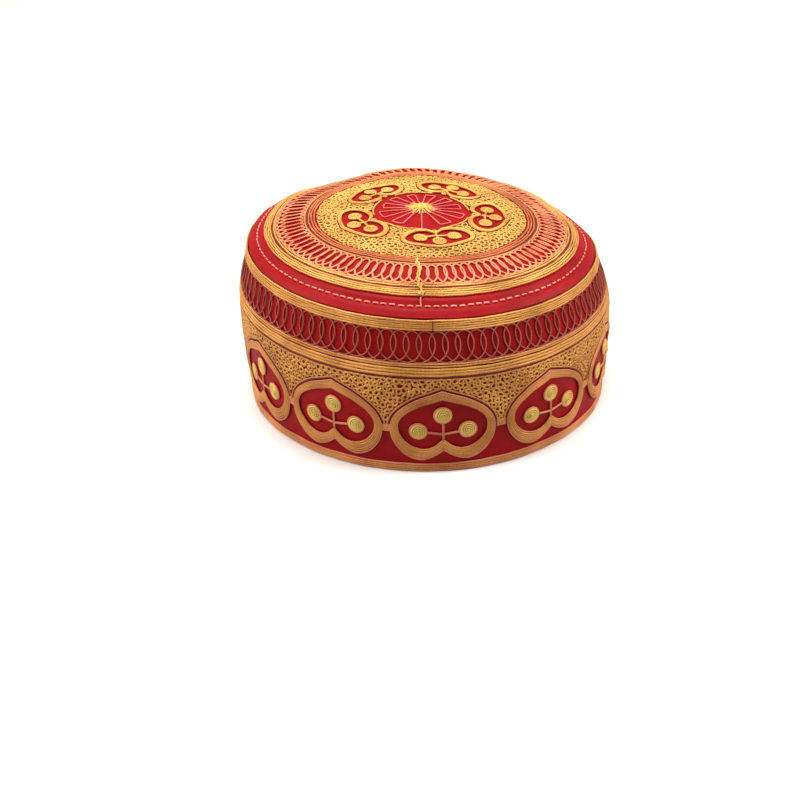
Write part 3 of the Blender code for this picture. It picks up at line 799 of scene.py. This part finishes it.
def meander(piece, seeds, ghosts, pitch, period, hole_size):
    """Curls of thread that fill the ground and leave a small hole in each curl, with a dark core of painted
    shade in the hole.
    """
    points = 14
    angles = np.linspace(0.0, math.tau, points, endpoint=False)
    seeds, reach = relaxed_cells(seeds, ghosts, pitch, period, angles)
    for seed, cell in zip(seeds, reach):
        turn = rng.uniform(0.0, math.tau)
        hole = hole_size * rng.uniform(0.55, 1.35) * (1.0 + 0.22 * np.sin(2.0 * angles + 2.0 * turn))
        thick = np.clip(cell - hole, 0.0006, 0.0021)
        path = seed + unit(angles) * (cell - 0.5 * thick)[:, None]
        lift = 0.00040 + 0.00016 * np.sin(angles + turn) + rng.uniform(-0.00006, 0.00006)
        piece.thread(path, lift, thick * 1.08, 0.00090, 5, True, 0)
        # Painted shade: a small dark core in each hole, where the cloth would lie in shade.
        core = 0.5 * float(np.mean(hole)) * 1.25
        piece.thread(seed + unit(angles[::2]) * core, 0.00030, 2.0 * core, 0.0002, 4, True, 1)


def clear_of(points, loops, distance):
    """Which points lie farther than a distance from every point of the loops."""
    rim = np.vstack(loops)
    kept = np.ones(len(points), dtype=bool)
    for start in range(0, len(points), 400):
        block = points[start:start + 400]
        gap = np.linalg.norm(block[:, None, :] - rim[None, :, :], axis=2).min(axis=1)
        kept[start:start + 400] = gap > distance
    return kept


def moved_out(loop, distance):
    """A closed loop moved outwards, or inwards where the distance is negative."""
    run = np.roll(loop, -1, axis=0) - np.roll(loop, 1, axis=0)
    run /= np.linalg.norm(run, axis=1)[:, None]
    return loop + np.column_stack([run[:, 1], -run[:, 0]]) * distance


def crown_heart_outlines():
    """The outlines of the crown's hearts, in plan."""
    outline = heart_line(CROWN_HEART_WIDTH, CROWN_HEART_HEIGHT, CROWN_NOTCH, 0.0)
    return [to_crown(outline, crown_heart_azimuth(index)) for index in range(CROWN_HEART_COUNT)]


def make_side_ground():
    """The meandering gold ground above and between the hearts of the side."""
    pitch = CURL_PITCH
    outline = heart_line(SIDE_HEART_WIDTH, SIDE_HEART_HEIGHT, SIDE_NOTCH, 0.0)
    foot = SIDE_HEART_TIP - WIDEST_DOWN * SIDE_HEART_HEIGHT
    period = math.tau * RIM_RADIUS
    start = side_heart_azimuth(0) * RIM_RADIUS - 0.5 * period
    seeds = hex_seeds((start, foot), (start + period - 0.5 * pitch, GROUND_TOP), pitch)
    hearts = [to_side(outline, side_heart_azimuth(i)) - [period * (i > SIDE_HEART_COUNT // 2), 0.0]
              for i in range(-1, SIDE_HEART_COUNT + 1)]
    hearts.append(hearts[1] + [period, 0.0])
    hearts.append(hearts[1] - [period, 0.0])
    line = np.arange(start, start + period, pitch * 0.45)
    top = np.column_stack([line, np.full(len(line), GROUND_TOP)])
    low = np.column_stack([line, np.full(len(line), foot)])
    own_hearts = hearts[1:SIDE_HEART_COUNT + 1]
    edge = 0.0027
    top_edge = GROUND_TOP - 0.0013
    rims = [moved_out(heart, edge) for heart in own_hearts]
    rims.append(resampled([(start, top_edge), (start + period - pitch, top_edge)], 200))
    borders = edge_seeds(rims, pitch)
    open_rim = (borders[:, 1] > foot + 0.0006) & (borders[:, 1] < GROUND_TOP - 0.0010)
    open_rim &= outside(borders, [moved_out(heart, edge * 0.9) for heart in hearts])
    borders = borders[open_rim]
    keep = clear_of(seeds, hearts, edge) & (seeds[:, 1] < top_edge) & outside(seeds, hearts)
    keep &= (seeds[:, 1] > foot + 0.0010) & clear_of(seeds, [borders], 0.78 * pitch)
    seeds = np.vstack([seeds[keep], borders])
    ghosts = [moved_out(heart, 0.0006) for heart in hearts]
    ghosts += [top + [0.0, 0.0011], low - [0.0, 0.0011]]
    piece = Piece(on_side)
    meander(piece, seeds, np.vstack(ghosts), pitch, period, SIDE_HOLE)
    piece.rows(GROUND_TOP - 0.0006, 0.0005, 0.0008, 0.0008, look=2)
    for heart in own_hearts:
        open_part = np.flatnonzero(heart[:, 1] > foot)
        split = np.flatnonzero(np.diff(open_part) > 1)
        if len(split):
            open_part = np.concatenate([open_part[split[0] + 1:], open_part[:split[0] + 1]])
        piece.thread(moved_out(heart, 0.0013)[open_part], 0.0005, 0.0008, 0.0008, 6, False, 2)
        piece.thread(moved_out(heart, 0.0005)[open_part], 0.0002, 0.0009, 0.0006, 6, False, 3)
    for index in range(SIDE_HEART_COUNT):
        after = side_heart_azimuth(index + 1)
        middle = 0.5 * (side_heart_azimuth(index) + after) * RIM_RADIUS
        half = 0.5 * SIDE_HEART_GAP
        for drop in (-0.0018, -0.0009, 0.0, 0.0009):
            path = resampled([(middle - half, foot - drop), (middle + half, foot - drop)], 8)
            piece.thread(path, 0.0005, 0.0009, 0.0008, 6, False, 2)
    piece.make("side_meander_thread", [SHADED_SIDE_GOLD, HOLE_SHADE, TAN, DARK_CORD_AND_SHADE], "gold_thread", "side_gold_field")


def make_crown_ground():
    """The meandering gold ground of the crown."""
    pitch = CURL_PITCH
    seeds = hex_seeds((-GROUND_EDGE, -GROUND_EDGE), (GROUND_EDGE, GROUND_EDGE), pitch)
    radius = np.hypot(seeds[:, 0], seeds[:, 1])
    hearts = crown_heart_outlines()
    edge = 0.0015
    outer_edge = GROUND_EDGE - 0.0013
    inner_edge = FLOWER_EDGE + 0.0016
    rims = [moved_out(heart, edge) for heart in hearts]
    rims += [unit(np.linspace(0.0, math.tau, 300)) * ring for ring in (outer_edge, inner_edge)]
    borders = edge_seeds(rims, pitch)
    distance = np.hypot(borders[:, 0], borders[:, 1])
    open_rim = (distance > FLOWER_EDGE + 0.0015) & (distance < GROUND_EDGE - 0.0012)
    open_rim &= outside(borders, [moved_out(heart, edge * 0.9) for heart in hearts])
    borders = borders[open_rim]
    keep = clear_of(seeds, hearts, edge) & (radius < outer_edge) & outside(seeds, hearts)
    keep &= (radius > inner_edge) & clear_of(seeds, [borders], 0.78 * pitch)
    seeds = np.vstack([seeds[keep], borders])
    ghosts = [moved_out(heart, -0.0009) for heart in hearts]
    for ring in (GROUND_EDGE + 0.0010, FLOWER_EDGE - 0.0008):
        count = int(math.tau * ring / (0.30 * pitch))
        ghosts.append(unit(np.linspace(0.0, math.tau, count, endpoint=False)) * ring)
    piece = Piece(on_crown)
    meander(piece, seeds, np.vstack(ghosts), pitch, 0.0, CROWN_HOLE)
    piece.make("crown_meander_thread", [GOLD, HOLE_SHADE], "gold_thread", "crown_gold_field")


# Hearts

def make_heart(name, node, to_wall, place, azimuth, size, window, dot_radius, outline_looks, threads):
    """One heart: rows of thread for its outline, and a trefoil of stitched dots on stems."""
    piece = Piece(place)
    width, height, notch = size
    inner_width, inner_height, inner_tip, inner_notch = window
    rows = len(outline_looks)
    ring_inset = 0.00035
    row_step = 0.00095
    outer = heart_line(width, height, notch, 0.0)
    inner = heart_line(inner_width * width, inner_height * height, inner_notch, inner_tip * height)
    gap = np.linalg.norm(outer - inner, axis=1)
    for row in range(rows):
        share = (row + 0.5) / rows
        path = outer * (1.0 - share) + inner * share
        lift = 0.0007 + 0.0003 * math.sin(math.pi * share)
        spread = 0.86 if row == 0 and rows > 4 else 1.02
        piece.thread(to_wall(path, azimuth), lift, gap / rows * spread, 0.0009, 6, True, outline_looks[row])
    joint = np.array([0.0, -JUNCTION_DOWN * height])
    foot = np.array([0.0, -inner_tip * height - inner_notch * inner_height * height])
    stems = [(joint, foot)]
    for across, down in TREFOIL:
        dot = np.array([across * width / 2.0, -down * height])
        away = (dot - joint) / np.linalg.norm(dot - joint)
        stems.append((joint, dot - away * dot_radius * 0.9))
        circle = unit(np.linspace(0.0, math.tau, 28, endpoint=False))
        piece.thread(to_wall(dot + circle * (dot_radius - ring_inset), azimuth), 0.0006, 0.0008, 0.0009, 6,
                     True, outline_looks[0])
        turns = max(2.0, dot_radius / row_step)
        spiral = np.linspace(0.0, 1.0, int(turns * 16))
        radius = np.minimum((1.0 - spiral) * dot_radius, dot_radius - row_step)
        path = dot + unit(spiral * turns * math.tau) * radius[:, None]
        piece.thread(to_wall(path, azimuth), 0.0006 + 0.0007 * spiral, 0.00082, 0.0009, 5, False,
                     len(threads) - 1)
    for begin, end in stems:
        run = (end - begin) / np.linalg.norm(end - begin)
        across = np.array([run[1], -run[0]])
        for side in (-0.00024, 0.00024):
            path = resampled([begin + across * side, end + across * side], 7)
            piece.thread(to_wall(path, azimuth), 0.0006, 0.00052, 0.0008, 6, False, outline_looks[0])
    piece.make(name, threads, "gold_thread", node)


def make_hearts():
    """All the heart cartouches."""
    for index in range(SIDE_HEART_COUNT):
        make_heart(f"side_heart_stitching_{index + 1:02d}", f"side_heart_{index + 1:02d}", to_side, on_side,
                   side_heart_azimuth(index), (SIDE_HEART_WIDTH, SIDE_HEART_HEIGHT, SIDE_NOTCH),
                   (INNER_WIDTH, INNER_HEIGHT, INNER_TIP, INNER_NOTCH), SIDE_DOT_RADIUS, (2, 1, 0, 1, 0, 1),
                   [SHADED_SIDE_GOLD, TAN, SALMON, BRIGHT_GOLD])
    for index in range(CROWN_HEART_COUNT):
        make_heart(f"crown_heart_stitching_{index + 1}", f"crown_heart_{index + 1}", to_crown, on_crown,
                   crown_heart_azimuth(index), (CROWN_HEART_WIDTH, CROWN_HEART_HEIGHT, CROWN_NOTCH),
                   CROWN_WINDOW, CROWN_DOT_RADIUS * CROWN_DOT_GROWTH, (0, 0, 0, 0), [GOLD])


# Flower, boss and margin

def make_flower():
    """Fine lines that run out from the boss, most of them in pairs that close as petals."""
    piece = Piece(on_crown)
    centre = np.array([0.0, BOSS_SHIFT_BACK])
    slots = 11
    start = 0.0045
    for index in range(slots):
        middle = math.radians(270.0) + index * math.tau / slots
        if index == 0:
            line = [(start, 0.0), (FLOWER_EDGE - 0.0004 + BOSS_SHIFT_BACK, 0.0)]
        else:
            spread = 0.145 + rng.uniform(-0.02, 0.02)
            limit = FLOWER_EDGE - 0.0024 + BOSS_SHIFT_BACK * -math.sin(middle)
            reach = limit * rng.uniform(0.90, 0.98)
            line = [(start, -spread), (reach * 0.6, -spread), (reach, -spread), (reach * 1.01, 0.0),
                    (reach, spread), (reach * 0.6, spread), (start, spread)]
        corners = [centre + radius * np.array([math.cos(middle + turn), math.sin(middle + turn)])
                   for radius, turn in line]
        piece.thread(resampled(corners, 40), 0.0004, 0.00072, 0.0006, 6, False, 0)
    hearts = crown_heart_outlines()
    for index in range(CROWN_HEART_COUNT):
        begin = crown_heart_azimuth(index)
        end = crown_heart_azimuth(index + 1)
        azimuth = np.linspace(begin, end, 120)
        arc = unit(azimuth) * FLOWER_EDGE
        free = outside(arc, hearts)
        free[:20] = free[-20:] = False
        piece.thread(resampled(arc[free], 24), 0.0005, 0.0009, 0.0009, 6, False, 1)
    piece.make("flower_lines", [PETAL, GOLD], "copper_thread")


def make_boss():
    """The stitched knot at the middle of the crown, with rays of gold thread round it."""
    piece = Piece(on_crown)
    centre = np.array([0.0, BOSS_SHIFT_BACK])
    rays = 26
    for index in range(rays):
        angle = index * math.tau / rays + rng.uniform(-0.05, 0.05)
        reach = BOSS_RADIUS * rng.uniform(1.25, 1.95)
        ray = np.array([math.cos(angle), math.sin(angle)])
        path = resampled([centre + ray * 0.0006, centre + ray * reach], 8)
        piece.thread(path, np.linspace(0.0016, 0.0004, 8), np.linspace(0.00045, 0.0006, 8), 0.0007, 5,
                     False, 0)
    spiral = np.linspace(0.0, 1.0, 60)
    radius = (1.0 - spiral) * 0.0032
    path = centre + unit(spiral * 20.0) * radius[:, None]
    piece.thread(path, 0.0013 + 0.0009 * spiral, 0.0009, 0.0009, 6, False, 0)
    piece.make("boss_stitching", [BRIGHT_GOLD], "gold_thread", "crown_boss")


def make_topstitch():
    """The running stitch in the groove of the crown's margin."""
    piece = Piece(on_crown)
    radius = 0.943 * SEAM_RADIUS
    stitches = 132
    stitch_share = 0.66
    for index in range(stitches):
        start = (index + rng.uniform(-0.06, 0.06)) / stitches * math.tau
        azimuth = start + np.linspace(0.0, stitch_share, 7) / stitches * math.tau
        path = unit(azimuth) * (radius + rng.uniform(-0.0001, 0.0001))
        lift = 0.0001 + 0.0004 * np.sin(np.linspace(0.15, math.pi - 0.15, 7))
        piece.thread(path, lift, 0.00085, 0.00070, 6, False, 0)
    piece.make("margin_topstitch", [PINK], "copper_thread")


def make_front_thread():
    """The joining thread that crosses the crown's rings at the front and ends in the margin."""
    piece = Piece(on_crown)
    bends = [(-0.0030, -0.0530), (-0.0027, -0.0560), (-0.0016, -0.0610), (-0.0026, -0.0670),
             (-0.0022, -0.0715), (-0.0010, -0.0745), (-0.0012, -0.0775)]
    for side, look in ((-0.00038, 0), (0.00038, 2)):
        line = smooth_line(np.array(bends) + [side, 0.0], 60)
        twist = 0.00030 * np.sin(np.linspace(0.0, 40.0, 60) + 3000.0 * side)
        piece.thread(line + np.column_stack([twist, np.zeros(60)]), 0.0012 + twist, 0.0007, 0.0008, 6,
                     False, look)
    for centre in ((-0.0016, -0.0722), (-0.0012, -0.0762)):
        turn = np.linspace(0.0, 11.0, 34)
        curl = np.column_stack([np.cos(turn), 0.7 * np.sin(turn)]) * np.linspace(0.0014, 0.0005, 34)[:, None]
        piece.thread(np.array(centre) + curl, np.linspace(0.0014, 0.0019, 34), 0.0008, 0.0008, 6, False, 0)
    tail = smooth_line([(-0.0013, -0.0770), (-0.0016, -0.0790), (-0.0013, -0.0808)], 16)
    piece.thread(tail, 0.0005, 0.00055, 0.0005, 6, False, 1)
    piece.make("front_join_thread", [GOLD, PINK, BRIGHT_GOLD], "gold_thread")
    join = Piece(on_side)
    along = -0.5 * math.pi * RIM_RADIUS + 0.0034
    path = resampled([(along, UPPER_BAND_FOOT + 0.0002),
                      (along + 0.0004, UPPER_BAND_FOOT + UPPER_BAND_WIDTH - 0.0002)], 8)
    join.thread(path, 0.0010, 0.00055, 0.0008, 6, False, 0)
    join.make("front_join_line", [DARK_CORD_AND_SHADE], "gold_thread")


# Floor, light and camera

def make_floor():
    """A pale floor, which the camera sees lighter than the light it throws back."""
    bpy.ops.mesh.primitive_plane_add(size=8.0, location=(0.0, 0.0, 0.0))
    floor = bpy.context.object
    floor.name = "floor"
    material, nodes, links, shader = node_material("pale_floor")
    seen = nodes.new("ShaderNodeLightPath").outputs["Is Camera Ray"]
    links.new(ramp_node(nodes, links, seen, [(0.0, (0.42, 0.42, 0.42)), (1.0, (0.90, 0.90, 0.90))]),
              shader.inputs["Base Color"])
    shader.inputs["Roughness"].default_value = 0.7
    floor.data.materials.append(material)


def make_world():
    """A warm glow all round, with white behind the cap."""
    world = bpy.data.worlds.new("studio")
    world.use_nodes = True
    nodes, links = world.node_tree.nodes, world.node_tree.links
    glow = nodes["Background"]
    glow.inputs["Color"].default_value = (1.0, 0.94, 0.87, 1.0)
    glow.inputs["Strength"].default_value = 0.42
    paper = nodes.new("ShaderNodeBackground")
    paper.inputs["Color"].default_value = (1.0, 1.0, 1.0, 1.0)
    choice = nodes.new("ShaderNodeMixShader")
    links.new(nodes.new("ShaderNodeLightPath").outputs["Is Camera Ray"], choice.inputs[0])
    links.new(glow.outputs[0], choice.inputs[1])
    links.new(paper.outputs[0], choice.inputs[2])
    links.new(choice.outputs[0], nodes["World Output"].inputs["Surface"])
    bpy.context.scene.world = world
    bpy.context.scene.view_settings.view_transform = "Standard"


def make_lights():
    """Two soft lights from the sides and a larger one from above."""
    lights = (
        # place, size, watts
        ((-1.1, -0.15, 0.8), 0.6, 12.5),
        ((1.1, -0.05, 0.8), 0.6, 12.5),
        ((0.0, 0.2, 1.45), 0.8, 22.5),
    )
    for index, (place, size, watts) in enumerate(lights):
        data = bpy.data.lights.new(f"soft_{index}", "AREA")
        data.size = size
        data.color = (1.0, 0.97, 0.92)
        data.energy = watts
        light = add_object(f"soft_{index}", data)
        light.location = place
        light.rotation_euler = (Vector(place) - Vector((0.0, 0.0, 0.05))).to_track_quat("Z", "Y").to_euler()


def make_camera():
    """The photograph's camera."""
    elevation = math.radians(CAMERA_ELEVATION)
    roll = math.radians(CAMERA_ROLL)
    place = Vector((0.0, -CAMERA_DISTANCE * math.cos(elevation), CAMERA_DISTANCE * math.sin(elevation)))
    ahead = -place.normalized()
    right = Vector((1.0, 0.0, 0.0))
    up = right.cross(ahead)
    across = right * math.cos(roll) + up * math.sin(roll)
    over = up * math.cos(roll) - right * math.sin(roll)
    data = bpy.data.cameras.new("camera")
    data.lens = CAMERA_LENS
    data.sensor_width = 36.0
    data.shift_x, data.shift_y = CAMERA_SHIFT
    data.clip_start = 0.01
    camera = add_object("camera", data)
    turn = Matrix((across, over, -ahead)).transposed().to_4x4()
    camera.matrix_world = Matrix.Translation(place) @ turn
    bpy.context.scene.camera = camera


make_cloth()
make_bands()
make_binding()
make_loops()
make_side_ground()
make_crown_ground()
make_hearts()
make_flower()
make_boss()
make_topstitch()
make_front_thread()
make_floor()
make_world()
make_lights()
make_camera()
